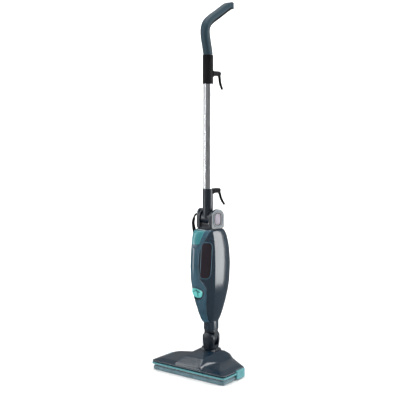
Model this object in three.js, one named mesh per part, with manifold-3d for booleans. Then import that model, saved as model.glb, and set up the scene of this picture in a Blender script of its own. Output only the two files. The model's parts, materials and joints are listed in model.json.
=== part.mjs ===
// An upright steam mop with a folding pole, in millimetres.
// +Z is up, -Y is the front of the floor head and +X is the side to the right of the front.
// The origin is on the floor, under the joint between the floor head and the handle.
import * as THREE from "three";
import { ConvexGeometry } from "three/addons/geometries/ConvexGeometry.js";
import { mergeVertices } from "three/addons/utils/BufferGeometryUtils.js";
import Module from "manifold-3d";

// ---- Driving dimensions ----

const GAP = 0.3; // between pieces that touch

const HEAD = { halfWidth: 143, front: -132, sideRear: -16, rear: 52, rearHalfWidth: 44 };
const PAD_TOP = 13.7;
const PLATE = { bottom: 14, top: 20.3, inset: 7 };
const BAND = { bottom: 19.4, top: 24.2, wall: 6.6, roof: 20.6 };
const COVER = { bottom: 24.5, rim: 27.2, edge: 30.5, shoulder: 37, shoulderInset: 24 };
const TROUGH = { halfWidth: 28.6, floor: 31, radius: 21.5 };
const CLIP = { front: -62, rear: -19, inner: 137.4, outer: 144.6, bottom: 4, top: 29.5, margin: 1.6 };

const PITCH = { z: 52, axleRadius: 4, axleHalfLength: 40 };
const ROLL = { z: 97, pinRadius: 5, pinHalfLength: 21, fork: 22, tongue: 19 };
const SLOT = { halfWidth: 9.8, floor: 77 };

const NECK = { bottom: 119.8, shoulder: 128, spigotRadius: 14, spigotTop: 178 };
const COLLAR = { width: 42, depth: 46, corner: 15, bottom: 128.3, top: 156.7 };

const WALL = 3;
const STRIP_PROUD = 0.8; // how far the front strip stands above the shells beside it
const LID_PROUD = 2;
const WINDOW = { width: 34, height: 111, z: 362, tilt: THREE.MathUtils.degToRad(-4) };
const LID = { bottom: 414, top: 462, bottomHalf: 14, topHalf: 21.5, back: -52.5 };
const LID_HINGE = { y: -52.2, z: 455.2, radius: 1.1, halfLength: 13 };
const TANK = { inset: 6.5, wall: 2.4, bottom: 300, top: 445, rear: -34 };
const FILLER = { z: 431, radius: 9 };
const BOILER = { radius: 25, halfHeight: 34, chamfer: 6, y: 16, z: 282 };
const PUMP = { radius: 15, y: 12, bottom: 340, top: 372, flange: 18 };
const KNOB = { y: -63, z: 264, radius: 18, cup: 21.6, tilt: THREE.MathUtils.degToRad(20) };

const FOLD = { y: -19, z: 489, axleRadius: 5 };
const EAR = { front: -38, rear: 11, bottom: 458.5, top: 519, frontX: 30, rearX: 42, inner: 26.5 };
const BUTTON = { width: 23, height: 36, corner: 10.4, travel: 4, groove: 2.2, y: -14, z: 488 };

const POLE = { tubeRadius: 14, tubeWall: 1.2, sleeveRadius: 16.5, tubeBottom: 540, tubeTop: 955 };
const LOWER_SLEEVE_TOP = 583;
const UPPER_SLEEVE = { bottom: 909, top: 998 };
const HOOK = { halfWidth: 7.5, height: 14.5, reach: 43, bossRadius: 6.6, pinRadius: 2.1 };
const UPPER_HOOK_Z = 942.5;
const LOWER_HOOK_Z = 574;

const LEAD = { radius: 3.25, sides: 8 };
const HANK = { near: 142, run: 117, radius: 29.25, halfWidth: 19.5, lift: 2.2 };
const VIEW_LINE = THREE.MathUtils.degToRad(36); // the hank lies in line with the neck, at this turn

// ---- Materials ----

const material = (color, roughness, metalness = 0, extra = {}) =>
  new THREE.MeshStandardMaterial({ color, roughness, metalness, ...extra });

const navyGloss = () => material(0x1d3a49, 0.28);
const navySatin = () => material(0x22333f, 0.42);
const stripGloss = () => material(0x35525f, 0.22);
const tealPale = () => material(0x8fc3c4, 0.4);
const tealLid = () => material(0x549198, 0.35);
const mintKnob = () => material(0x78c8c6, 0.35);
const mauveGrey = () => material(0x8d8a92, 0.45);
const blackPlastic = () => material(0x0c0a0f, 0.5);
const rubber = () => material(0x141318, 0.8);
const aluminium = () => material(0xb9bcc0, 0.3, 0.9);
const steel = () => material(0x9a9da1, 0.35, 1);
const brass = () => material(0xb08d4a, 0.35, 1);
const microfibre = () => material(0x8fa3ab, 1);
const smokedTank = () => material(0x4a3a48, 0.15, 0, { transparent: true, opacity: 0.7 });
const whitePlastic = () => material(0xd9d9d4, 0.5);

// ---- Joining and cutting ----

const wasm = await Module();
wasm.setup();

function solid(geometry) {
  const bare = geometry.index ? geometry.toNonIndexed() : geometry.clone();
  bare.deleteAttribute("normal");
  bare.deleteAttribute("uv");
  const merged = mergeVertices(bare, 1e-4);
  const triVerts = new Uint32Array(merged.index.array);
  const vertProperties = merged.attributes.position.array;
  return new wasm.Manifold(new wasm.Mesh({ numProp: 3, vertProperties, triVerts }));
}

function geometryOf(made) {
  const { vertProperties, triVerts } = made.getMesh();
  const geometry = new THREE.BufferGeometry();
  geometry.setAttribute("position", new THREE.BufferAttribute(vertProperties, 3));
  geometry.setIndex(new THREE.BufferAttribute(triVerts, 1));
  geometry.computeVertexNormals();
  return geometry;
}

function named(name, shape, itsMaterial) {
  const geometry = shape.isBufferGeometry ? shape : geometryOf(shape);
  const mesh = new THREE.Mesh(geometry, itsMaterial);
  mesh.name = name;
  return mesh;
}

function group(children, x = 0, y = 0, z = 0) {
  const made = new THREE.Group();
  made.position.set(x, y, z);
  made.add(...children);
  return made;
}

// The biggest of the bodies that a cut left apart.
const largest = (made) => made.decompose().sort((a, b) => b.volume() - a.volume())[0];

// ---- Shapes ----

const box = (x0, x1, y0, y1, z0, z1) =>
  new THREE.BoxGeometry(x1 - x0, y1 - y0, z1 - z0).translate(
    (x0 + x1) / 2,
    (y0 + y1) / 2,
    (z0 + z1) / 2,
  );

// A rod along an axis, from one end to the other, with a place on the two other axes.
function rod(axis, radius, from, to, place = [0, 0], sides = 24) {
  const made = new THREE.CylinderGeometry(radius, radius, to - from, sides);
  made.translate(0, (from + to) / 2, 0);
  if (axis === "x") return made.rotateZ(-Math.PI / 2).translate(0, place[0], place[1]);
  if (axis === "z") return made.rotateX(Math.PI / 2).translate(place[0], place[1], 0);
  return made.translate(place[0], 0, place[1]);
}

function roundedPolygon(corners, radius) {
  const shape = new THREE.Shape();
  corners.forEach((corner, i) => {
    const before = corners[(i + corners.length - 1) % corners.length];
    const after = corners[(i + 1) % corners.length];
    const cut = (end) => {
      const length = corner.distanceTo(end);
      return corner.clone().lerp(end, Math.min(radius / length, 0.499));
    };
    const start = cut(before);
    const end = cut(after);
    if (i === 0) shape.moveTo(start.x, start.y);
    else shape.lineTo(start.x, start.y);
    shape.quadraticCurveTo(corner.x, corner.y, end.x, end.y);
  });
  shape.closePath();
  return shape;
}

function roundedRectangle(width, height, radius) {
  const [x, y] = [width / 2, height / 2];
  const corners = [
    [-x, -y],
    [x, -y],
    [x, y],
    [-x, y],
  ];
  return roundedPolygon(
    corners.map((c) => new THREE.Vector2(...c)),
    radius * 1.25,
  );
}

const plate = (shape, z0, z1, curveSegments = 4) =>
  new THREE.ExtrudeGeometry(shape, { depth: z1 - z0, bevelEnabled: false, curveSegments }).translate(
    0,
    0,
    z0,
  );

// A shape drawn in X and Z, run along Y.
const plateAlongY = (shape, y0, y1, curveSegments = 4) =>
  plate(shape, -y1, -y0, curveSegments).rotateX(Math.PI / 2);

// A shape drawn in Y and Z, run along X.
const plateAlongX = (shape, x0, x1, curveSegments = 4) =>
  plate(shape, x0, x1, curveSegments).rotateZ(Math.PI / 2).rotateY(Math.PI / 2);

// Six times the volume that a closed skin holds: below nought when its faces point inwards.
function signedVolume(points, faces) {
  let sum = 0;
  for (let i = 0; i < faces.length; i += 3) {
    const [a, b, c] = [0, 1, 2].map((k) => points[faces[i + k]]);
    sum += a.dot(b.clone().cross(c));
  }
  return sum;
}

// A closed skin over rings of points that go round the same way, from the first ring to the last.
function loft(rings) {
  const count = rings[0].length;
  const points = rings.flat();
  const faces = [];
  for (let r = 0; r < rings.length - 1; r++)
    for (let i = 0; i < count; i++) {
      const [a, b] = [r * count + i, r * count + ((i + 1) % count)];
      faces.push(a, b, b + count, a, b + count, a + count);
    }
  const cap = (ring, offset, flip) => {
    const centre = ring.reduce((sum, p) => sum.add(p), new THREE.Vector3());
    points.push(centre.divideScalar(count));
    for (let i = 0; i < count; i++) {
      const [a, b] = [offset + i, offset + ((i + 1) % count)];
      faces.push(points.length - 1, flip ? b : a, flip ? a : b);
    }
  };
  cap(rings[0], 0, true);
  cap(rings[rings.length - 1], (rings.length - 1) * count, false);
  const geometry = new THREE.BufferGeometry().setFromPoints(points);
  geometry.setIndex(signedVolume(points, faces) < 0 ? faces.reverse() : faces);
  geometry.computeVertexNormals();
  return geometry;
}

// A smooth curve through points, run as a tube whose radius goes from one value to another.
function taperedTube(curve, steps, startRadius, endRadius, sides) {
  const frames = curve.computeFrenetFrames(steps, false);
  const rings = [];
  for (let i = 0; i <= steps; i++) {
    const centre = curve.getPointAt(i / steps);
    const radius = THREE.MathUtils.lerp(startRadius, endRadius, i / steps);
    const ring = [];
    for (let k = 0; k < sides; k++) {
      const angle = (2 * Math.PI * k) / sides;
      const across = frames.normals[i].clone().multiplyScalar(radius * Math.cos(angle));
      const up = frames.binormals[i].clone().multiplyScalar(radius * Math.sin(angle));
      ring.push(centre.clone().add(across).add(up));
    }
    rings.push(ring);
  }
  return loft(rings);
}

function circle(radius, sides) {
  const shape = new THREE.Shape();
  for (let k = 0; k < sides; k++) {
    const angle = (2 * Math.PI * k) / sides;
    const [x, y] = [radius * Math.cos(angle), radius * Math.sin(angle)];
    if (k === 0) shape.moveTo(x, y);
    else shape.lineTo(x, y);
  }
  shape.closePath();
  return shape;
}

const tube = (curve, radius, sides, steps) =>
  new THREE.ExtrudeGeometry(circle(radius, sides), { extrudePath: curve, steps, bevelEnabled: false });

const smooth = (points) =>
  new THREE.CatmullRomCurve3(
    points.map((p) => new THREE.Vector3(...p)),
    false,
    "centripetal",
  );

// ---- Floor head ----

function headOutline(inset) {
  const x = HEAD.halfWidth - inset;
  const rearX = HEAD.rearHalfWidth - inset;
  const corners = [
    [-x, HEAD.front + inset],
    [x, HEAD.front + inset],
    [x, HEAD.sideRear],
    [rearX, HEAD.rear - inset],
    [-rearX, HEAD.rear - inset],
    [-x, HEAD.sideRear],
  ];
  return roundedPolygon(
    corners.map((c) => new THREE.Vector2(...c)),
    12,
  );
}

const outlineAt = (inset, z) =>
  headOutline(inset)
    .getPoints(3)
    .map((p) => new THREE.Vector3(p.x, p.y, z));

// The raised middle of the head, as corner points on one side: foot, ridge and top.
const HUMP = [
  [52, -130, 27],
  [78, 12, 30],
  [52, 50, 27],
  [47, -124, 40],
  [48, -88, 47],
  [48, 28, 49],
  [44, 45, 42],
  [36, -92, 57],
  [36, 4, 61],
  [34, 28, 55],
];

function clipRoom(side) {
  const { front, rear, inner, margin } = CLIP;
  const [from, to] = side > 0 ? [inner - margin, 200] : [-200, margin - inner];
  return solid(box(from, to, front - margin, rear + margin, -1, 60));
}

function withClipRooms(made) {
  return made.subtract(clipRoom(1)).subtract(clipRoom(-1));
}

function headCover() {
  const wings = solid(
    new ConvexGeometry([
      ...outlineAt(0, COVER.rim),
      ...outlineAt(0, COVER.edge),
      ...outlineAt(COVER.shoulderInset, COVER.shoulder),
    ]),
  );
  const hump = solid(
    new ConvexGeometry(
      HUMP.flatMap(([x, y, z]) => [new THREE.Vector3(x, y, z), new THREE.Vector3(-x, y, z)]),
    ),
  );
  const lip = solid(plate(headOutline(3), COVER.bottom, COVER.rim + 1));
  const hollow = solid(
    new ConvexGeometry([...outlineAt(8, COVER.bottom - 1), ...outlineAt(28, COVER.shoulder - WALL)]),
  ).subtract(solid(box(-52, 52, -128, 60, 0, 80)));
  const trough = solid(box(-TROUGH.halfWidth, TROUGH.halfWidth, 0, 70, TROUGH.floor, 90)).add(
    solid(rod("x", TROUGH.radius, -TROUGH.halfWidth, TROUGH.halfWidth, [0, PITCH.z])),
  );
  const mouth = solid(box(-TROUGH.halfWidth, TROUGH.halfWidth, -TROUGH.radius, 1, PITCH.z, 90));
  const bearing = solid(
    rod("x", PITCH.axleRadius + GAP, -PITCH.axleHalfLength - 1, PITCH.axleHalfLength + 1, [0, PITCH.z]),
  );
  const whole = wings.add(hump).add(lip).subtract(hollow);
  return withClipRooms(whole.subtract(trough).subtract(mouth).subtract(bearing));
}

function padClip(side) {
  const { front, rear, inner, outer, bottom, top } = CLIP;
  const tab = solid(plate(roundedRectangle(outer - inner, rear - front, 2.5), bottom, top)).translate([
    (side * (inner + outer)) / 2,
    (front + rear) / 2,
    0,
  ]);
  const mark = new THREE.Shape([
    new THREE.Vector2(-5, -3),
    new THREE.Vector2(5, -3),
    new THREE.Vector2(0, 4),
  ]);
  const from = side > 0 ? outer - 1 : -outer - 1;
  const cut = solid(plateAlongX(mark, from, from + 2)).translate([0, (front + rear) / 2, 20]);
  return tab.subtract(cut);
}

function floorHead() {
  const pad = withClipRooms(solid(plate(headOutline(0), 0, PAD_TOP)));
  const steamPlate = withClipRooms(solid(plate(headOutline(PLATE.inset), PLATE.bottom, PLATE.top)));
  const band = withClipRooms(
    solid(plate(headOutline(0), BAND.bottom, BAND.top)).subtract(
      solid(plate(headOutline(BAND.wall), BAND.bottom - 1, BAND.roof)),
    ),
  );
  const { axleRadius, axleHalfLength, z } = PITCH;
  return group([
    named("mop_pad", pad, microfibre()),
    named("steam_plate", steamPlate, aluminium()),
    named("base_band", band, tealPale()),
    named("head_cover", headCover(), navyGloss()),
    named("pitch_axle", rod("x", axleRadius, -axleHalfLength, axleHalfLength, [0, z]), steel()),
    named("pad_clip_right", padClip(1), tealPale()),
    named("pad_clip_left", padClip(-1), tealPale()),
  ]);
}

// ---- Joint between head and handle ----

const rectangleRing = (halfX, halfY, corner, z) =>
  roundedRectangle(2 * halfX, 2 * halfY, corner)
    .getPoints(4)
    .slice(0, -1)
    .map((p) => new THREE.Vector3(p.x, p.y, z));

function yokeFork() {
  const stations = [
    [19, 15, 44],
    [20.5, 22.5, 71],
    [21.6, 25.4, 85],
    [22, 26, 97],
    [22, 25.5, 108],
    [21.6, 22.5, 119],
  ];
  const barrel = solid(loft(stations.map(([x, y, z]) => rectangleRing(x, y, 12, z))));
  const crown = solid(rod("y", ROLL.fork, -40, 40, [0, ROLL.z], 40)).add(
    solid(box(-40, 40, -40, 40, 20, ROLL.z)),
  );
  const slot = solid(box(-40, 40, -SLOT.halfWidth, SLOT.halfWidth, SLOT.floor, 130));
  const knuckle = solid(rod("x", 18.6, -TROUGH.halfWidth + 0.6, TROUGH.halfWidth - 0.6, [0, PITCH.z], 32));
  const axleHole = solid(rod("x", PITCH.axleRadius + GAP, -40, 40, [0, PITCH.z]));
  const pinHole = solid(
    rod("y", ROLL.pinRadius + GAP, -ROLL.pinHalfLength - GAP, ROLL.pinHalfLength + GAP, [0, ROLL.z]),
  );
  return barrel.intersect(crown).add(knuckle).subtract(slot).subtract(axleHole).subtract(pinHole);
}

function neckPiece() {
  const half = SLOT.halfWidth - 0.4;
  const tongue = solid(rod("y", ROLL.tongue, -half, half, [0, ROLL.z], 40)).add(
    solid(box(-ROLL.tongue, ROLL.tongue, -half, half, ROLL.z, NECK.bottom + 2)),
  );
  const block = solid(plate(roundedRectangle(38, 42, 13), NECK.bottom, NECK.shoulder));
  const spigot = solid(rod("z", NECK.spigotRadius, NECK.shoulder - 1, NECK.spigotTop));
  const pinHole = solid(rod("y", ROLL.pinRadius + GAP, -40, 40, [0, ROLL.z]));
  const steamBore = solid(rod("z", 4, ROLL.z + 12, NECK.spigotTop + 1, [0, 0], 16));
  return tongue.add(block).add(spigot).subtract(pinHole).subtract(steamBore);
}

function neckJoint() {
  const collar = solid(
    plate(roundedRectangle(COLLAR.width, COLLAR.depth, COLLAR.corner), COLLAR.bottom, COLLAR.top),
  ).subtract(solid(rod("z", NECK.spigotRadius + GAP, 100, 200)));
  const pin = rod("y", ROLL.pinRadius, -ROLL.pinHalfLength, ROLL.pinHalfLength, [0, ROLL.z]);
  return group([
    named("yoke_fork", yokeFork(), navySatin()),
    named("roll_pin", pin, steel()),
    named("neck", neckPiece(), navySatin()),
    named("neck_collar", collar, navyGloss()),
  ]);
}

// ---- Main body ----

// Half of the body's widest cross-section, from the nose round to the back, as [x, y].
const SECTION = [
  [0, -92],
  [8, -91.3],
  [14, -88.6],
  [18, -84],
  [31, -63],
  [45, -40],
  [48.5, -22],
  [50.5, -3],
  [51, 15],
  [49, 30],
  [43.5, 43],
  [33, 52],
  [18, 57.3],
  [0, 58.6],
];
const CREASE = 5; // the corner of the section between the slanted front and the side

// The body's height stations: z, the section's scale and its shift along Y.
const STATIONS = [
  [157, 0.41, 0],
  [168, 0.5, 0],
  [190, 0.62, 0],
  [222, 0.765, 0],
  [256, 0.89, 0],
  [290, 0.97, 0],
  [345, 1, 0],
  [392, 0.96, -1],
  [414, 0.915, -2.5],
  [432, 0.87, -5],
  [445, 0.81, -7.5],
  [452, 0.75, -9.5],
  [455, 0.69, -10.5],
];
const BODY = { bottom: STATIONS[0][0], top: STATIONS[STATIONS.length - 1][0] };

// The station's scale and shift at any height, for the walls and cuts that follow the body.
function stationAt(z) {
  const next = Math.max(1, STATIONS.findIndex((s) => s[0] >= z));
  const [low, high] = [STATIONS[next - 1], STATIONS[next]];
  const share = (z - low[0]) / (high[0] - low[0]);
  return [1, 2].map((k) => THREE.MathUtils.lerp(low[k], high[k], share));
}

function bodyRing(z, inset) {
  const [scale, shift] = stationAt(z);
  const half = SECTION.map(([x, y]) => new THREE.Vector3(x * scale, y * scale + shift, z));
  const centre = new THREE.Vector3(0, shift - 12 * scale, z);
  const inward = (p) => {
    const out = p.clone().sub(centre);
    return centre.clone().add(out.setLength(out.length() - inset));
  };
  const right = half.map(inward);
  const left = right
    .slice(1, -1)
    .reverse()
    .map((p) => new THREE.Vector3(-p.x, p.y, p.z));
  return [...right, ...left];
}

// The body as one solid, its skin moved in by inset, between two heights.
function bodySolid(inset, bottom = BODY.bottom, top = BODY.top) {
  const between = STATIONS.map((s) => s[0]).filter((z) => z > bottom + 0.5 && z < top - 0.5);
  return solid(loft([bottom, ...between, top].map((z) => bodyRing(z, inset))));
}

// Everything in front of the crease, moved back by some distance.
function frontOfCrease(offset) {
  const rings = STATIONS.map(([z, scale, shift], i) => {
    const y = SECTION[CREASE][1] * scale + shift + offset;
    const height = i === 0 ? z - 5 : i === STATIONS.length - 1 ? z + 5 : z;
    return [
      [-90, -140],
      [90, -140],
      [90, y],
      [-90, y],
    ].map((p) => new THREE.Vector3(...p, height));
  });
  return solid(loft(rings));
}

// The glossy front strip, drawn in X and Z: wide at the lid, narrow at the tank, wide at the knob.
function stripCutter(offset) {
  const edge = [
    [31, 460],
    [25, 432],
    [18.5, 405],
    [15.5, 385],
    [14.5, 345],
    [16, 305],
    [22, 292],
    [26, 274],
    [24.5, 250],
    [20, 222],
    [15, 190],
    [11, 150],
  ].map(([x, z]) => [x + offset, z]);
  const outline = [...edge, ...[...edge].reverse().map(([x, z]) => [-x, z])];
  const shape = new THREE.Shape(outline.map((p) => new THREE.Vector2(...p)));
  return solid(plateAlongY(shape, -140, -8));
}

// A rounded slot that looks along the slanted front's normal, on one side.
function windowCutter(side, offset) {
  const slot = roundedRectangle(WINDOW.width + 2 * offset, WINDOW.height + 2 * offset, 11 + offset);
  const [nose, crease] = [SECTION[3], SECTION[CREASE]];
  const along = new THREE.Vector2(crease[0] - nose[0], crease[1] - nose[1]);
  const [scale] = stationAt(WINDOW.z);
  const middle = new THREE.Vector2(...nose).addScaledVector(along, 0.38).multiplyScalar(scale);
  const made = plate(slot, -24, 24, 5).rotateZ(side * WINDOW.tilt).rotateX(Math.PI / 2);
  made.rotateZ(side * along.angle());
  return solid(made.translate(side * middle.x, middle.y, WINDOW.z));
}

function lidCutter(offset) {
  const { bottom, top, bottomHalf, topHalf, back } = LID;
  const corners = [
    [-bottomHalf - offset, bottom - offset],
    [bottomHalf + offset, bottom - offset],
    [topHalf + offset, top + offset],
    [-topHalf - offset, top + offset],
  ];
  const shape = roundedPolygon(
    corners.map((c) => new THREE.Vector2(...c)),
    4,
  );
  return solid(plateAlongY(shape, -140, back + offset));
}

// A rod along the steam knob's tilted axis: distances run out of the body from the cup's floor.
function knobRod(radius, from, to, sides = 28) {
  const made = rod("y", radius, -to, -from, [0, 0], sides).rotateX(KNOB.tilt);
  return solid(made.translate(0, KNOB.y, KNOB.z));
}

const BOOT = { start: [-42, -28, 425], end: [-49, -30.5, 469], radius: 6.2, tip: 4.2 };

function bootHole() {
  const [start, end] = [BOOT.start, BOOT.end].map((p) => new THREE.Vector3(...p));
  const below = start.clone().lerp(end, -0.12);
  return solid(tube(new THREE.LineCurve3(below, end), BOOT.radius + 0.6, 16, 1));
}

function lidGroove() {
  const { y, z, radius, halfLength } = LID_HINGE;
  return solid(rod("x", radius + GAP, -halfLength - GAP, halfLength + GAP, [y, z], 12));
}

function frontCuts(made, offset) {
  return made
    .subtract(lidGroove())
    .subtract(windowCutter(1, offset))
    .subtract(windowCutter(-1, offset))
    .subtract(knobRod(KNOB.cup + offset, -20, 80))
    .subtract(lidCutter(offset))
    .subtract(bootHole());
}

function fingerRecess() {
  const shape = roundedRectangle(25, 11, 4);
  return solid(plateAlongY(shape, -140, -86.8)).translate([0, 0, 406.5]);
}

function bodyShells() {
  const spigotHole = solid(rod("z", NECK.spigotRadius + GAP, 100, 200));
  const shell = bodySolid(0)
    .subtract(bodySolid(WALL, BODY.bottom + WALL, BODY.top - WALL))
    .subtract(spigotHole);
  const raised = bodySolid(-STRIP_PROUD).subtract(bodySolid(WALL, BODY.bottom + WALL, BODY.top - WALL));
  const front = frontCuts(shell.intersect(frontOfCrease(0)).subtract(stripCutter(GAP)), GAP);
  const halves = front.decompose().sort((a, b) => b.volume() - a.volume());
  const sideOf = ({ min, max }) => Math.sign(min[0] + max[0]);
  const ofSide = (side) => halves.find((half) => sideOf(half.boundingBox()) === side);
  const stripBlank = raised.intersect(stripCutter(0)).intersect(frontOfCrease(0));
  const strip = frontCuts(stripBlank, GAP).subtract(fingerRecess()).subtract(spigotHole);
  const boilerRest = solid(box(-4, 4, BOILER.y + BOILER.radius + GAP, 56, 258, 306));
  const pumpRest = solid(box(-4, 4, PUMP.y + PUMP.flange + GAP, 56, 348, 362));
  const rear = shell.subtract(frontOfCrease(GAP)).subtract(bootHole()).add(boilerRest).add(pumpRest);
  const wellRadius = SCREW.headRadius + 0.5;
  const screwWells = SCREWS.map(([, z]) => solid(rod("y", wellRadius, 30, 80, [0, z], 16)));
  return [
    named("front_shell_right", ofSide(1), navyGloss()),
    named("front_shell_left", ofSide(-1), navyGloss()),
    named("rear_shell", screwWells.reduce((made, well) => made.subtract(well), rear), navyGloss()),
    named("front_strip", largest(strip), stripGloss()),
  ];
}

// Each screw's name, its height and where its head starts along Y.
const SCREWS = [
  ["rear_screw_upper", 400, 40],
  ["rear_screw_lower", 235, 33],
];
const SCREW = { headRadius: 3.9, shankRadius: 1.9, cross: 2.4 };

function rearScrew([name, z, y]) {
  const { headRadius, shankRadius, cross: arm } = SCREW;
  const head = solid(rod("y", headRadius, y + 8, y + 11, [0, z], 12));
  const shank = solid(rod("y", shankRadius, y - 12, y + 9, [0, z], 8));
  const cross = solid(box(-arm, arm, y + 9.6, y + 12, z - 0.6, z + 0.6)).add(
    solid(box(-0.6, 0.6, y + 9.6, y + 12, z - arm, z + arm)),
  );
  return named(name, head.add(shank).subtract(cross), steel());
}

function tankWindow(name, side) {
  const lens = bodySolid(0.6).subtract(bodySolid(WALL)).intersect(windowCutter(side, -GAP));
  return named(name, largest(lens), smokedTank());
}

function waterTank() {
  const { inset, wall, bottom, top, rear } = TANK;
  const behind = (y) => solid(box(-90, 90, y, 140, bottom - 10, top + 10));
  const outside = bodySolid(inset, bottom, top).subtract(behind(rear));
  const inside = bodySolid(inset + wall, bottom + wall, top - wall).subtract(behind(rear - wall));
  const mouth = solid(rod("y", FILLER.radius, -110, -55, [0, FILLER.z], 20));
  return outside.subtract(inside).subtract(mouth);
}

function fillerLid() {
  const room = bodySolid(1, BODY.bottom + WALL, BODY.top - WALL);
  const lid = bodySolid(-LID_PROUD).subtract(room).intersect(lidCutter(-GAP));
  return largest(lid.subtract(lidGroove()));
}

// Places a solid, drawn round the origin with its face to -Y, on the steam knob's tilted axis.
const onKnobAxis = (made) =>
  made.rotate([THREE.MathUtils.radToDeg(KNOB.tilt), 0, 0]).translate([0, KNOB.y, KNOB.z]);

function steamKnob() {
  const width = 2 * KNOB.radius;
  const skirt = plateAlongY(roundedRectangle(width, width, 0.4 * width), -15, -3, 5);
  const rib = plateAlongY(roundedRectangle(5, 26, 2.4), -17.5, -14, 3);
  return onKnobAxis(solid(skirt).add(solid(rib)));
}

const SPINDLE_RADIUS = 3;

function knobParts() {
  const cup = knobRod(KNOB.cup, 0, 60)
    .subtract(knobRod(KNOB.cup - 2, 2, 61))
    .subtract(knobRod(SPINDLE_RADIUS + 1.3, -5, 5, 16))
    .intersect(bodySolid(-STRIP_PROUD));
  const valve = solid(box(-11, 11, GAP, 15, -13, 13)).subtract(solid(rod("y", SPINDLE_RADIUS + 0.4, -1, 12)));
  return [
    named("knob_bezel", cup, navySatin()),
    named("steam_knob", steamKnob(), mintKnob()),
    named("knob_spindle", knobRod(SPINDLE_RADIUS, -11, 2.6, 16), steel()),
    named("steam_valve", onKnobAxis(valve), brass()),
  ];
}

function workings() {
  const { radius, halfHeight, chamfer } = BOILER;
  const boiler = new THREE.LatheGeometry(
    [
      [0, -halfHeight],
      [radius - chamfer + 1, -halfHeight],
      [radius, chamfer - halfHeight],
      [radius, halfHeight - chamfer],
      [radius - chamfer + 1, halfHeight],
      [0, halfHeight],
    ].map((p) => new THREE.Vector2(...p)),
    24,
  );
  boiler.rotateX(Math.PI / 2).translate(0, BOILER.y, BOILER.z);
  const { y, flange } = PUMP;
  const pumpFlange = solid(box(-11, 11, y - flange, y + flange, PUMP.bottom + 6, PUMP.top - 8));
  const pump = solid(rod("z", PUMP.radius, PUMP.bottom, PUMP.top, [0, y])).add(pumpFlange);
  const waterHose = tube(
    smooth([
      [14, -33.4, 318],
      [14, -22, 318],
      [9, -4, 320],
      [1, 11, 325],
      [0, 12, 332],
      [0, 12, 338.8],
    ]),
    2.6,
    8,
    10,
  );
  const steamHose = tube(
    smooth([
      [0, 8, 247.4],
      [0, 4, 225],
      [0, 0, 200],
      [0, 0, 178.6],
    ]),
    3.6,
    8,
    8,
  );
  return [
    named("boiler", boiler, aluminium()),
    named("pump", pump, whitePlastic()),
    named("water_hose", waterHose, whitePlastic()),
    named("steam_hose", steamHose, rubber()),
    named("water_tank", waterTank(), smokedTank()),
  ];
}

function mainBody() {
  const { y, z, radius, halfLength } = LID_HINGE;
  const pin = rod("x", radius, -halfLength, halfLength, [y, z], 12);
  const seal = rod("y", FILLER.radius - 1.2, -80.8, -79.5, [0, FILLER.z], 20);
  return group([
    ...bodyShells(),
    ...SCREWS.map(rearScrew),
    tankWindow("tank_window_right", 1),
    tankWindow("tank_window_left", -1),
    ...workings(),
    ...knobParts(),
    named("filler_lid", fillerLid(), tealLid()),
    named("lid_pin", pin, steel()),
    named("filler_seal", seal, rubber()),
  ]);
}

// ---- Folding knuckle ----

// A piece of the knuckle seen from the side: small round corners below, large ones above.
function sideShape(front, rear, bottom, top, corner) {
  const round = Math.min(corner, (rear - front) / 2.05);
  const foot = 6;
  const shape = new THREE.Shape();
  shape.moveTo(front + foot, bottom);
  shape.lineTo(rear - foot, bottom);
  shape.absarc(rear - foot, bottom + foot, foot, -Math.PI / 2, 0, false);
  shape.lineTo(rear, top - round);
  shape.absarc(rear - round, top - round, round, 0, Math.PI / 2, false);
  shape.lineTo(front + round, top);
  shape.absarc(front + round, top - round, round, Math.PI / 2, Math.PI, false);
  shape.absarc(front + foot, bottom + foot, foot, Math.PI, 1.5 * Math.PI, false);
  shape.closePath();
  return shape;
}

function saddle() {
  const base = solid(box(-26, 26, -37, 10, 455.4, 462)).add(solid(box(-20, 20, -33, 6, 461, 466)));
  const cheek = plateAlongX(sideShape(-39, 9, 455.4, 513, 20), 18, 26, 8);
  const cheeks = solid(cheek).add(solid(cheek.clone().translate(-44, 0, 0)));
  const eyeRoom = solid(rod("x", POLE.sleeveRadius + 0.8, -18, 18, [FOLD.y, FOLD.z], 32));
  const axleHole = solid(rod("x", FOLD.axleRadius + GAP, -40, 40, [FOLD.y, FOLD.z]));
  return base.add(cheeks).subtract(eyeRoom).subtract(axleHole);
}

function earCover(side) {
  const block = solid(plateAlongX(sideShape(EAR.front, EAR.rear, EAR.bottom, EAR.top, 23), EAR.inner, 60, 8));
  const outerFace = new THREE.Shape(
    [
      [0, -80],
      [EAR.frontX - 3.2, -51],
      [EAR.rearX + 3, 23.3],
      [0, 60],
    ].map((p) => new THREE.Vector2(...p)),
  );
  const kept = block.intersect(solid(plate(outerFace, 400, 560)));
  const { width, height, corner, groove } = BUTTON;
  const room = roundedRectangle(width + 2 * groove, height + 2 * groove, corner + groove);
  const buttonRoom = solid(plateAlongX(room, EAR.inner - 1, 60, 5)).translate([0, BUTTON.y, BUTTON.z]);
  const made = kept.subtract(buttonRoom);
  return side > 0 ? made : made.mirror([1, 0, 0]);
}

function foldButton(side) {
  const { width, height, corner, travel } = BUTTON;
  const inner = EAR.inner + travel + GAP;
  const block = solid(plateAlongX(roundedRectangle(width, height, corner), inner, 60, 5)).translate([
    0,
    BUTTON.y,
    BUTTON.z,
  ]);
  const face = new THREE.Shape(
    [
      [0, -80],
      [EAR.frontX - 4, -51],
      [EAR.rearX + 2.2, 23.3],
      [0, 60],
    ].map((p) => new THREE.Vector2(...p)),
  );
  const kept = block.intersect(solid(plate(face, 400, 560)));
  const springWell = solid(rod("x", 5.4, 20, inner + 2.3, [BUTTON.y, BUTTON.z], 16));
  const made = kept.subtract(springWell);
  return side > 0 ? made : made.mirror([1, 0, 0]);
}

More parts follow.
